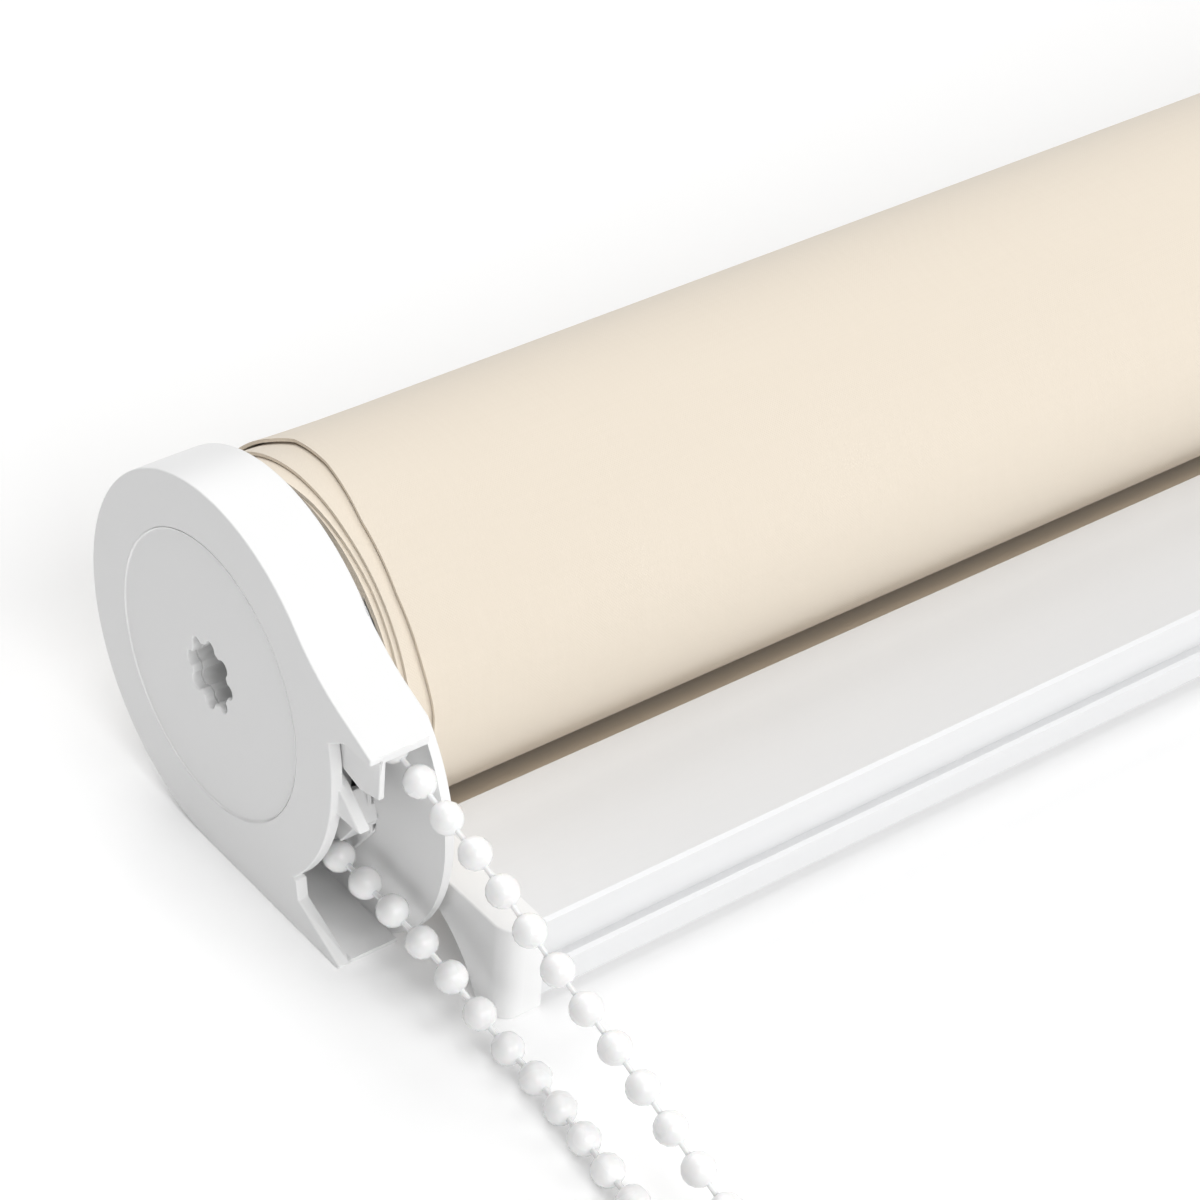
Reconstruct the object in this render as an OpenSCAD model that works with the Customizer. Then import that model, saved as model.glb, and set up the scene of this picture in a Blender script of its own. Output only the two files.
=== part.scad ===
// Roller blind, rolled right up, with a bead-chain clutch at its control end.
// +X runs along the roller from the control case to the idle end, -Y is the side
// of the chain mouth and the bottom rail, and +Z is up. The origin is the centre
// of the splined socket in the outer face of the control case.

/* [Blind] */
// Width over both end fittings, without the idle pin
blind_w = 600; // [420:5:900]
// Diameter of the cloth when it is rolled right up
roll_d = 53; // [51:0.5:54]
// Thickness of the cloth
cloth_t = 0.55; // [0.4:0.05:0.6]
// Distance from each end fitting to the edge of the outermost cloth
cloth_side = 17.5; // [17:0.5:22]

/* [Roller tube] */
// Outside diameter of the aluminium tube
tube_d = 38; // [37:0.5:38]
// Wall of the tube
tube_wall = 1; // [0.8:0.1:1.2]

/* [Control case] */
// Radius of the case, which is also the height of the roller's axis
case_r = 28.6; // [28.6:0.1:30]
// Depth of the case from its face to the back of the guard plate
case_depth = 10.5; // [10.5:0.1:10.8]
// Thickness of the cover's face
face_t = 1.8; // [1.6:0.1:2]
// Thickness of the cover's rim
rim_t = 1.3; // [1:0.1:1.5]
// Thickness of the guard plate
guard_t = 1.5; // [1.2:0.1:1.8]
// How far the nose's upper wall reaches from the axis
nose_reach = 36.8; // [36:0.2:38]
// Slope of the nose's upper wall
nose_slope = 0.42; // [0.38:0.02:0.44]

/* [Bead chain] */
// Diameter of a bead
bead_d = 4.5; // [4.2:0.1:4.5]
// Distance from bead to bead along the cord
bead_pitch = 6; // [6:0.1:6.1]
// Number of bead pockets round the chain wheel
pockets = 17; // [17:1:17]

/* [Bottom rail] */
// Width of the rail from its back edge to its front face
rail_w = 25.1; // [25.1:0.1:26]
// Length of each end cap outside the rail
cap_len = 6; // [5:0.5:6]

/* [Hidden] */
$fn = 96;
eps = 0.01;

roll_r = roll_d / 2;
tube_r = tube_d / 2;
tube_bore_r = tube_r - tube_wall;
table_z = -case_r;

// Control case
guard_x = case_depth - guard_t;
nose_tip_z = 10.8;
nose_base_y = -31;
nose_root_y = -12;
nose_angle = atan(nose_slope);
fillet_r = 30;
guard_nose_r = 26.8;
guard_nose_centre = [-14.1, -5.7];
face_recess_r = 20.5;
face_recess_t = 0.2;
tip_cut = 0.6;
fin_x = [1.95, 2.85];
tooth_x = [1, 2.8];
boss_angles = [35, 110, 250, 325];
boss_pcr = 23.4;
boss_r = 2.2;
screw_r = 0.85;
pilot_r = 0.9;
screw_head_r = 1.9;
screw_head_t = 0.9;
guide_x = 5;
guide_plate_t = 0.8;

// Splined socket and spindle
spline_r = 4.3;
spline_lobe_r = 1.1;
spline_lobes = 8;
socket_depth = 14;
spindle_r = 7;
spindle_end = 58;
spindle_base_r = 9.5;
spindle_base_t = 1;
spindle_screw_r = 1.5;
screw_pan_r = 3.4;
screw_pan_t = 2;
running = 0.06;

// Chain wheel, springs and crown
pitch_r = pockets * bead_pitch / (2 * PI);
wheel_r = pitch_r + 0.6;
wheel_x = [face_t + 0.3, guard_x - 0.3];
chain_x = (wheel_x[0] + wheel_x[1]) / 2;
first_pocket = 20;
cord_d = 1.5;
sleeve_r = 9.6;
sleeve_end = 24;
finger_r = [8.9, 10.2];
finger_x = [20, 48];
finger_half_angle = 35;
spring_mean_r = 8;
spring_wire_r = 0.6;
spring_pitch = 1.3;
spring_turns = 7;
spring_x = [25.5, 36.5];
crown_x = [case_depth + 0.7, 55];
crown_core_r = [14, 16];
crown_wall = 3;
fins = 6;
fin_t = 2.4;
fin_gap = 0.1;
washer_r = 10;
washer_t = 1.2;
key_t = 2;
key_h = 1;
tube_x = [13, blind_w - 13];

// Cloth: the inner turns sit nearer to the control case than the outer ones
cloth_w = blind_w - 2 * cloth_side;
cloth_in_r = tube_r + 0.3;
turn_shift = [0, 2.8, 4.7];
strip_t = 0.25;
strip_half_angle = 30;

// Idle end
idle_flange_x = [blind_w - 10.8, blind_w - 9.3];
idle_hub_r = 9;
idle_hub_end = blind_w - 3;
idle_core_start = blind_w - 48;
idle_wall_x = blind_w - 13.5;
chamber_r = 5.3;
pin_r = 3;
pin_shank_r = 3.2;
pin_free = 9;
pin_end = idle_hub_end + pin_free;
pin_collar_r = 5;
pin_collar_t = 2;
pin_stem_r = 2;
pin_stem_len = 20;
plunger_cap_x = blind_w - 47;
plunger_cap_t = 2;
pin_spring_r = 3.3;
pin_spring_wire_r = 0.5;
pin_spring_turns = 10;

// Bottom rail, in its own plane: u runs forward from the back edge, v up from the table
rail_back = 26.2;
rail_top = 15.3;
rail_foot = 2;
edge_cut = 0.5;
ridge_low = [rail_foot, 7];
ridge_high = [10.4, rail_top];
groove_depth = 1.6;
blade_low = 11.2;
flank_centre = [3.5, -5.7];
flank_r = 16.9;
rail_wall = 1.2;
slot_v = 13.1;
slot_gap = 0.9;
slot_r = 1.35;
slot_u = 4.5;
spline_rod_r = 1.05;
cap_flank_r = 16.4;
cap_round_r = 3;
cap_plug_len = 12;
rail_x = [cloth_side, blind_w - cloth_side];

// Chain routes: centre lines of the two strands, from the mouth to the coil
upper_route = [
    [5.4, -16, 13.1], [5.7, -26, 10.1], [6.2, -36, 6.9], [6.5, -44, 4], [6.8, -51, 1.8],
    [7.1, -57, -0.8], [7.4, -63, -3.7], [7.8, -69, -6.4], [8.2, -76, -9.3], [8.4, -85, -12.9],
    [8.6, -95, -17.2], [8.7, -105, -21], [8.8, -115, -24.4], [8.8, -128, -26.3]
];
lower_route = [
    [5.4, -11, -17.2], [5.4, -20, -17.2], [5.4, -29, -17.6], [5.6, -35, -18.1], [6.2, -41, -19.6],
    [6.9, -46, -21.6], [7.5, -51, -24], [7.9, -56, -25.8], [7.8, -64, -26.3], [6.6, -74, -26.3],
    [5.2, -84, -26.3], [4.2, -94, -26.3], [3.6, -104, -25.8], [3.8, -113, -23.4],
    [5.4, -121, -19.4], [8, -129, -15]
];
coil_centre = [-20.8, -140];
coil_mean_r = 25;
coil_columns = 3;
coil_rows = 4;
turn_gap = 4.6;
strand_sides = 8;
wheel_steps = 20;
connector_centre = [3.9, -99];
connector_r = 2.8;
connector_len = 11;

// ---- Shared shapes ----

// Extrudes a plane shape drawn in Y and Z along X
module along_x(x0, len) {
    translate([x0, 0, 0]) rotate([90, 0, 90]) linear_extrude(len) children();
}

module rod_x(x0, x1, r) {
    translate([x0, 0, 0]) rotate([0, 90, 0]) cylinder(h = x1 - x0, r = r);
}

// Turns a profile drawn as radius and X about the roller's axis
module about_x() {
    rotate([0, 90, 0]) rotate_extrude() children();
}

function unit(v) = v / norm(v);

function tangent_at(path, i) =
    unit(path[min(i + 1, len(path) - 1)] - path[max(i - 1, 0)]);

// One ring of a swept tube, square to the path
function tube_ring(centre, tangent, r, sides) =
    let (out = unit(cross(tangent, [1, 0, 0])), side = cross(tangent, out))
    [for (k = [0 : sides - 1])
        centre + r * (cos(360 * k / sides) * out + sin(360 * k / sides) * side)];

// Closed tube of one radius along a list of points
module tube_along(path, r, sides) {
    rings = len(path);
    points = [for (i = [0 : rings - 1]) each tube_ring(path[i], tangent_at(path, i), r, sides)];
    walls = [for (i = [0 : rings - 2], k = [0 : sides - 1])
        let (a = i * sides + k, b = i * sides + (k + 1) % sides)
        each [[a, b, b + sides], [a, b + sides, a + sides]]];
    first = [[for (k = [sides - 1 : -1 : 0]) k]];
    last = [[for (k = [0 : sides - 1]) (rings - 1) * sides + k]];
    polyhedron(points = points, faces = concat(walls, first, last));
}

// Points of a spring wound about the roller's axis
function helix(x0, mean_r, pitch, turns, steps = 12) =
    [for (i = [0 : turns * steps])
        [x0 + pitch * i / steps, mean_r * cos(360 * i / steps), mean_r * sin(360 * i / steps)]];

// Sector of a ring in the Y and Z plane
module ring_sector(r_in, r_out, half_angle) {
    intersection() {
        difference() {
            circle(r_out);
            circle(r_in);
        }
        polygon([[0, 0], for (a = [-half_angle : half_angle / 2 : half_angle])
            2 * r_out * [cos(a), sin(a)]]);
    }
}

// Fins round a plug that centre it in the tube
module fins_2d(core_r) {
    for (k = [0 : fins - 1])
        rotate(360 * k / fins)
            translate([core_r - 0.5, -fin_t / 2])
                square([tube_bore_r - fin_gap - core_r + 0.5, fin_t]);
}

// ---- Control case ----

function nose_top_z(y) = nose_tip_z + nose_slope * (y + nose_reach);

// The nose alone, set in by a wall and reaching out past the mouth
module nose_2d(inset = 0, reach = 0) {
    drop = inset / cos(nose_angle);
    front_y = -nose_reach - reach;
    polygon([
        [front_y, nose_top_z(front_y) - drop],
        [nose_root_y, nose_top_z(nose_root_y) - drop],
        [0, table_z + inset],
        [nose_base_y - reach + tip_cut, table_z + inset],
        [nose_base_y - reach, table_z + inset + tip_cut]
    ]);
}

// Outline of the case with its nose
module case_2d(inset = 0, reach = 0) {
    circle(case_r - inset);
    nose_2d(inset, reach);
}

// Hollow corner between the round case and the nose's upper wall
module nose_fillet_2d() {
    normal = [-sin(nose_angle), cos(nose_angle)];
    along = [-cos(nose_angle), -sin(nose_angle)];
    rise = nose_top_z(0) * cos(nose_angle) + fillet_r;
    run = sqrt(pow(case_r + fillet_r, 2) - rise * rise);
    centre = rise * normal + run * along;
    on_circle = centre * case_r / (case_r + fillet_r);
    on_wall = centre - fillet_r * normal;
    difference() {
        polygon([on_circle, on_wall, on_wall - 2 * normal - 3 * along, on_circle * 0.9]);
        translate(centre) circle(fillet_r);
    }
}

module spline_2d() {
    circle(spline_r);
    for (k = [0 : spline_lobes - 1])
        rotate(360 * k / spline_lobes) translate([spline_r, 0]) circle(spline_lobe_r);
}

module at_bosses() {
    for (a = boss_angles) rotate([a, 0, 0]) translate([0, boss_pcr, 0]) children();
}

module face_2d() {
    circle(case_r);
    nose_fillet_2d();
    polygon([
        [-nose_reach, nose_tip_z], [-nose_reach, nose_tip_z - 1], [-31, 9.6], [-27.2, 7],
        [-20, 10], [nose_root_y, nose_top_z(nose_root_y)]
    ]);
    polygon([
        [0, table_z], [nose_base_y + tip_cut, table_z], [nose_base_y, table_z + tip_cut],
        [-21.3, -23.5], [-20.8, -20.5], [-10, -20]
    ]);
}

module housing_cover() {
    color("whitesmoke") difference() {
        union() {
            along_x(0, face_t) face_2d();
            along_x(face_t - eps, guard_x - face_t + eps) difference() {
                union() {
                    case_2d();
                    nose_fillet_2d();
                }
                case_2d(rim_t, 20);
            }
            at_bosses() rod_x(face_t - eps, guard_x, boss_r);
            // Fin that keeps the upper strand off the face
            along_x(fin_x[0], fin_x[1] - fin_x[0])
                polygon([[-36.3, 10.2], [-36.1, 3], [-31.9, 2], [-27.5, 3], [-25.5, 8], [-25.5, 14.6]]);
            // Tooth that stands between the two strands
            along_x(tooth_x[0], tooth_x[1] - tooth_x[0])
                polygon([[-26, 1.5], [-28.3, 0.5], [-33.5, -4], [-29, -4.2], [-26, -4]]);
        }
        along_x(-1, face_t + 2) spline_2d();
        rod_x(-1, face_recess_t, face_recess_r);
        at_bosses() rod_x(face_t + 1, guard_x + 1, pilot_r);
    }
}

module guard_plate() {
    color("whitesmoke") difference() {
        union() {
            along_x(guard_x, guard_t) circle(case_r);
            along_x(guard_x, guard_t - eps) {
                nose_fillet_2d();
                nose_2d(0, 10);
            }
        }
        along_x(guard_x - 1, guard_t + 2) difference() {
            translate([-70, -60]) square([56, 73]);
            translate(guard_nose_centre) circle(guard_nose_r);
            circle(case_r);
        }
        rod_x(guard_x - 1, case_depth + 1, sleeve_r + 0.4);
        at_bosses() rod_x(guard_x - 1, case_depth + 1, screw_r + 0.2);
    }
}

module cover_screws() {
    color("silver") at_bosses() {
        rod_x(face_t + 2, case_depth + eps, screw_r);
        rod_x(case_depth, case_depth + screw_head_t, screw_head_r);
    }
}

module spindle() {
    color("gainsboro") difference() {
        union() {
            rod_x(face_t, spindle_end, spindle_r);
            rod_x(face_t, face_t + spindle_base_t, spindle_base_r);
        }
        along_x(face_t - 1, socket_depth + 1) spline_2d();
        rod_x(spindle_end - 12, spindle_end + 1, spindle_screw_r);
    }
}

// Wedge on a plate of its own that parts the two strands and strips them off the wheel
module chain_guide() {
    color("gainsboro") {
        along_x(guard_x - guide_plate_t, guide_plate_t)
            polygon([[-26, -12.5], [-24.5, -3], [-21.5, -1], [-20.8, -12], [-22, -18]]);
        along_x(guide_x, guard_x - guide_x - eps)
            polygon([[-26.5, -10], [-23.8, -6], [-21.5, -8], [-21.2, -12], [-23.5, -14.2]]);
    }
}

module spindle_washer() {
    color("silver") difference() {
        rod_x(spindle_end, spindle_end + washer_t, washer_r);
        rod_x(spindle_end - 1, spindle_end + washer_t + 1, spindle_screw_r + 0.2);
    }
}

module spindle_screw() {
    color("dimgray") {
        rod_x(spindle_end - 11, spindle_end + washer_t + eps, spindle_screw_r - 0.05);
        rod_x(spindle_end + washer_t, spindle_end + washer_t + screw_pan_t, screw_pan_r);
    }
}

// ---- Chain wheel and drive ----

module sprocket() {
    color("white") difference() {
        union() {
            rod_x(wheel_x[0], wheel_x[1], wheel_r);
            rod_x(wheel_x[1] - eps, sleeve_end, sleeve_r);
            for (turn = [0, 180])
                along_x(finger_x[0], finger_x[1] - finger_x[0])
                    rotate(turn) ring_sector(finger_r[0], finger_r[1], finger_half_angle);
        }
        rod_x(wheel_x[0] - 1, sleeve_end + 1, spindle_r + running);
        rod_x(wheel_x[0] - 1, face_t + spindle_base_t + 0.3, spindle_base_r + 0.3);
        about_x() translate([pitch_r - cord_d / 2 - 0.4, chain_x - cord_d / 2 - 0.25])
            square([5, cord_d + 0.5]);
        for (k = [0 : pockets - 1])
            rotate([first_pocket + 360 * k / pockets, 0, 0]) translate([chain_x, pitch_r, 0])
                sphere(bead_d / 2 + 0.15, $fn = 32);
    }
}

module wrap_spring(x0) {
    color("darkgray")
        tube_along(helix(x0, spring_mean_r, spring_pitch, spring_turns), spring_wire_r, 8);
}

module wrap_spring_inner() { wrap_spring(spring_x[0]); }

module wrap_spring_outer() { wrap_spring(spring_x[1]); }

module drive_crown() {
    color("lightgray") difference() {
        union() {
            rod_x(crown_x[0], tube_x[0], tube_r);
            rod_x(crown_x[0], crown_x[1], crown_core_r[1]);
            along_x(tube_x[0] - eps, crown_x[1] - tube_x[0] + eps) fins_2d(crown_core_r[1]);
        }
        rod_x(crown_x[0] - 1, crown_x[1] + 1, spindle_r + running);
        rod_x(crown_x[0] - 1, finger_x[0], sleeve_r + 0.02);
        rod_x(finger_x[0], crown_x[1] - crown_wall, crown_core_r[0]);
    }
}

// ---- Roller ----

module roller_tube() {
    color("silver") along_x(tube_x[0], tube_x[1] - tube_x[0]) {
        difference() {
            circle(tube_r);
            circle(tube_bore_r);
        }
        // Inward key that the plugs' fins straddle
        translate([-key_t / 2, tube_bore_r - key_h]) square([key_t, key_h + tube_wall / 2]);
    }
}

module adhesive_strip() {
    color("khaki") along_x(rail_x[0], cloth_w)
        rotate(60) ring_sector(tube_r + 0.02, tube_r + strip_t, strip_half_angle);
}

module cloth_roll() {
    steps = [roll_r, roll_r - cloth_t, roll_r - 2 * cloth_t];
    color("antiquewhite") about_x() union() {
        for (k = [0 : 2])
            translate([cloth_in_r, rail_x[0] - turn_shift[k]])
                square([steps[k] - cloth_in_r, cloth_w - (k == 0 ? turn_shift[2] : 0)]);
        translate([steps[1], rail_x[0]]) square([cloth_t, cloth_w]);
    }
}

// ---- Bottom rail ----

module rail_frame() {
    translate([-rail_back, table_z]) mirror([1, 0]) children();
}

// Section of the extrusion: thin blade at the back, ridged bulb at the front
module rail_2d() {
    rail_frame() difference() {
        polygon([
            [edge_cut, rail_top], [rail_w - edge_cut, rail_top],
            [rail_w, rail_top - edge_cut], [rail_w, ridge_high[0] + edge_cut],
            [rail_w - edge_cut, ridge_high[0]], [rail_w - groove_depth, ridge_high[0]],
            [rail_w - groove_depth, ridge_low[1]], [rail_w - edge_cut, ridge_low[1]],
            [rail_w, ridge_low[1] - edge_cut], [rail_w, rail_foot + edge_cut],
            [rail_w - edge_cut, rail_foot], [flank_centre[0] + 15, rail_foot],
            [flank_centre[0], flank_centre[1] + flank_r], [edge_cut, blade_low],
            [0, blade_low + edge_cut], [0, rail_top - edge_cut]
        ]);
        translate(flank_centre) circle(flank_r);
    }
}

module rail_hollow_2d() {
    inner = rail_w - rail_wall;
    web = rail_w - groove_depth - rail_wall;
    rail_frame() difference() {
        polygon([
            [10.8, rail_top - rail_wall], [inner, rail_top - rail_wall],
            [inner, ridge_high[0] + rail_wall - 0.2], [web, ridge_high[0] + rail_wall - 0.2],
            [web, ridge_low[1] - rail_wall + 0.2], [inner, ridge_low[1] - rail_wall + 0.2],
            [inner, rail_foot + rail_wall], [19, rail_foot + rail_wall], [10.8, 9]
        ]);
        translate(flank_centre) circle(flank_r + rail_wall);
    }
}

module bottom_rail() {
    color("white") along_x(rail_x[0], cloth_w) difference() {
        rail_2d();
        rail_hollow_2d();
        rail_frame() {
            translate([slot_u, slot_v]) circle(slot_r);
            translate([-1, slot_v - slot_gap / 2]) square([slot_u + 1, slot_gap]);
        }
    }
}

module cloth_spline() {
    color("gainsboro") along_x(rail_x[0] + 1, cloth_w - 2)
        rail_frame() translate([slot_u, slot_v]) circle(spline_rod_r);
}

// Plan of an end cap, with its outer front corner rounded
module cap_plan_2d() {
    outer_x = rail_x[0] - cap_len;
    front_y = -rail_back - rail_w;
    translate([outer_x + cap_round_r, front_y + cap_round_r]) circle(cap_round_r);
    translate([outer_x + cap_round_r, front_y - eps])
        square([cap_len - cap_round_r + eps, rail_w + 2 * eps]);
    translate([outer_x - eps, front_y + cap_round_r])
        square([cap_len, rail_w - cap_round_r + eps]);
}

module rail_cap() {
    color("white") {
        intersection() {
            along_x(rail_x[0] - cap_len, cap_len) rail_frame() difference() {
                polygon([
                    [0, rail_top], [rail_w - edge_cut, rail_top], [rail_w, rail_top - edge_cut],
                    [rail_w, edge_cut], [rail_w - edge_cut, 0], [flank_centre[0] + 15.3, 0],
                    [flank_centre[0], flank_centre[1] + cap_flank_r], [0, 10.2]
                ]);
                translate(flank_centre) circle(cap_flank_r);
            }
            translate([0, 0, table_z - 1]) linear_extrude(rail_top + 2) cap_plan_2d();
        }
        along_x(rail_x[0] - eps, cap_plug_len) rail_frame()
            polygon([[12.5, 13.9], [22.1, 13.9], [22.1, 7.5], [20.5, 7.5], [15, 11.2], [12.5, 11.4]]);
    }
}

module rail_cap_left() { rail_cap(); }

module rail_cap_right() { translate([blind_w, 0, 0]) mirror([1, 0, 0]) rail_cap(); }

// ---- Cloth between the roll and the rail ----

function slot_mouth() = [-rail_back, table_z + slot_v];

// Where a sheet that leaves the rail's slot meets the underside of the roll
function tail_start() =
    let (r = roll_r + cloth_t / 2 + 0.02, p = slot_mouth(),
         a = atan2(p[1], p[0]) + acos(r / norm(p)))
    r * [cos(a), sin(a)];

module strip_2d(p, q, t) {
    side = t / 2 * [-(q - p)[1], (q - p)[0]] / norm(q - p);
    polygon([p + side, q + side, q - side, p - side]);
}

module cloth_tail() {
    color("antiquewhite") along_x(rail_x[0], cloth_w) {
        strip_2d(tail_start(), slot_mouth(), cloth_t);
        strip_2d(slot_mouth() + [0.2, 0], slot_mouth() - [3, 0], cloth_t);
    }
}

// ---- Idle end ----

module idle_plug() {
    color("gainsboro") difference() {
        union() {
            rod_x(idle_core_start, tube_x[1] + eps, crown_core_r[1]);
            along_x(idle_core_start, tube_x[1] - idle_core_start) fins_2d(crown_core_r[1]);
            rod_x(tube_x[1], idle_flange_x[0] + eps, tube_r);
            rod_x(idle_flange_x[0], idle_flange_x[1], case_r);
            rod_x(idle_flange_x[1] - eps, idle_hub_end, idle_hub_r);
        }
        rod_x(idle_core_start - 1, idle_wall_x, chamber_r);
        rod_x(idle_wall_x - 1, idle_hub_end + 1, pin_shank_r + running);
    }
}

module plunger_cap() {
    color("gainsboro") rod_x(plunger_cap_x, plunger_cap_x + plunger_cap_t, chamber_r - 0.02);
}

module idle_pin() {
    collar_x = idle_wall_x - 0.1 - pin_collar_t;
    color("silver") {
        rod_x(collar_x + eps, idle_hub_end, pin_shank_r);
        rod_x(idle_hub_end - eps, pin_end, pin_r);
        rod_x(collar_x, collar_x + pin_collar_t, pin_collar_r);
        rod_x(collar_x - pin_stem_len, collar_x + eps, pin_stem_r);
    }
}

module idle_spring() {
    start = plunger_cap_x + plunger_cap_t + pin_spring_wire_r + 0.1;
    end = idle_wall_x - 0.1 - pin_collar_t - pin_spring_wire_r - 0.1;
    pitch = (end - start) / pin_spring_turns;
    color("darkgray")
        tube_along(helix(start, pin_spring_r, pitch, pin_spring_turns), pin_spring_wire_r, 8);
}

// ---- Bead chain ----

function wheel_exit(route, side) =
    let (p = [route[0][1], route[0][2]], a = atan2(p[1], p[0]) + side * acos(pitch_r / norm(p)))
    pitch_r * [cos(a), sin(a)];

// Cord that holds the beads on the wheel, with its two straight ends to the strands
module chain_on_wheel() {
    top = wheel_exit(upper_route, -1);
    low = wheel_exit(lower_route, 1);
    top_angle = atan2(top[1], top[0]);
    low_angle = atan2(low[1], low[0]);
    arc = [for (k = [0 : wheel_steps])
        let (a = low_angle + (top_angle - low_angle) * k / wheel_steps)
        [chain_x, pitch_r * cos(a), pitch_r * sin(a)]];
    color("white")
        tube_along(concat([lower_route[0]], arc, [upper_route[0]]), cord_d / 2, strand_sides);
}

module chain_upper_strand() {
    color("white") tube_along(upper_route, bead_d / 2, strand_sides);
}

module chain_lower_strand() {
    color("white") tube_along(lower_route, bead_d / 2, strand_sides);
}

// Outer shape of the coil that the spare chain is wound into
module chain_coil() {
    wide = (coil_columns - 1) * turn_gap + bead_d;
    high = (coil_rows - 1) * turn_gap + bead_d;
    color("white") translate([coil_centre[0], coil_centre[1], table_z])
        rotate_extrude() translate([coil_mean_r - wide / 2, 0]) square([wide, high]);
}

module chain_connector() {
    color("gainsboro")
        translate([connector_centre[0], connector_centre[1] - connector_len / 2, table_z + connector_r])
            rotate([-90, 0, 0]) cylinder(h = connector_len, r = connector_r, $fn = 32);
}

housing_cover();
guard_plate();
cover_screws();
spindle();
chain_guide();
spindle_washer();
spindle_screw();
sprocket();
wrap_spring_inner();
wrap_spring_outer();
drive_crown();
roller_tube();
adhesive_strip();
cloth_roll();
cloth_tail();
idle_plug();
plunger_cap();
idle_pin();
idle_spring();
bottom_rail();
cloth_spline();
rail_cap_left();
rail_cap_right();
chain_on_wheel();
chain_upper_strand();
chain_lower_strand();
chain_coil();
chain_connector();
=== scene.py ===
from math import acos, atan2, ceil, cos, hypot, pi, radians, sin, tan

import bmesh
import bpy
import numpy as np
from mathutils import Matrix, Vector


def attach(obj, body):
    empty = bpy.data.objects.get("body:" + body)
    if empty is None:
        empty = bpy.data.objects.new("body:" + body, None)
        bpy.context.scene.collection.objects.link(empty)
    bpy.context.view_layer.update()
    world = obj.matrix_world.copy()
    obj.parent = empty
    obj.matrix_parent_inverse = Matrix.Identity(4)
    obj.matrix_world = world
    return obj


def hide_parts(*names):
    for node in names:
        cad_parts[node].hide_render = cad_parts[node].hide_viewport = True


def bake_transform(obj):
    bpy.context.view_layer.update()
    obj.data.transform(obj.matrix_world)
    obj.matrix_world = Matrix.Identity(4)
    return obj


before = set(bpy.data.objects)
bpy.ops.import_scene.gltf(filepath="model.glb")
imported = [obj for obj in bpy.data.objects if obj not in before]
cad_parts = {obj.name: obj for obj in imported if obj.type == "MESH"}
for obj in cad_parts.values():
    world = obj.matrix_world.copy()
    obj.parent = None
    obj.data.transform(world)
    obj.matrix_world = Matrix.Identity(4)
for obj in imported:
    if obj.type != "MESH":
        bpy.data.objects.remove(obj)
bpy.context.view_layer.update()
mm = 0.001


# ---------------------------------------------------------------- Camera
# Looks down on the chain end from the front left, close enough that the far
# end of the blind and the lower part of the chain lie outside the view.
camera_data = bpy.data.cameras.new("camera")
camera_data.sensor_fit = "HORIZONTAL"
camera_data.sensor_width = 36.0
camera_data.lens = 18.0 / tan(radians(18.0) / 2)
camera_data.clip_start = 0.01
camera_data.clip_end = 50.0
camera = bpy.data.objects.new("camera", camera_data)
bpy.context.scene.collection.objects.link(camera)
camera.matrix_world = Matrix((
    (0.79216, 0.33248, -0.51180, -0.20942),
    (-0.60782, 0.50555, -0.61236, -0.32918),
    (0.05514, 0.79617, 0.60256, 0.30889),
    (0.0, 0.0, 0.0, 1.0),
))
bpy.context.scene.camera = camera


# ---------------------------------------------------------------- Bead chain
# Round moulded beads on an endless polyester cord. It leaves the chain wheel through
# the mouth of the case, lies down on the surface, and its spare length is wound into
# a coil of four layers. The cord is moulded into each bead.
class Value:
    """A number or colour on its way through a finish; arithmetic on it adds the nodes."""

    def __init__(self, finish, socket):
        self.finish = finish
        self.socket = socket

    def math(self, operation, other):
        node = self.finish.node("ShaderNodeMath", {"operation": operation}, {0: self, 1: other})
        return node["Value"]

    def __add__(self, other):
        return self.math("ADD", other)

    __radd__ = __add__

    def __mul__(self, other):
        return self.math("MULTIPLY", other)

    __rmul__ = __mul__


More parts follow.
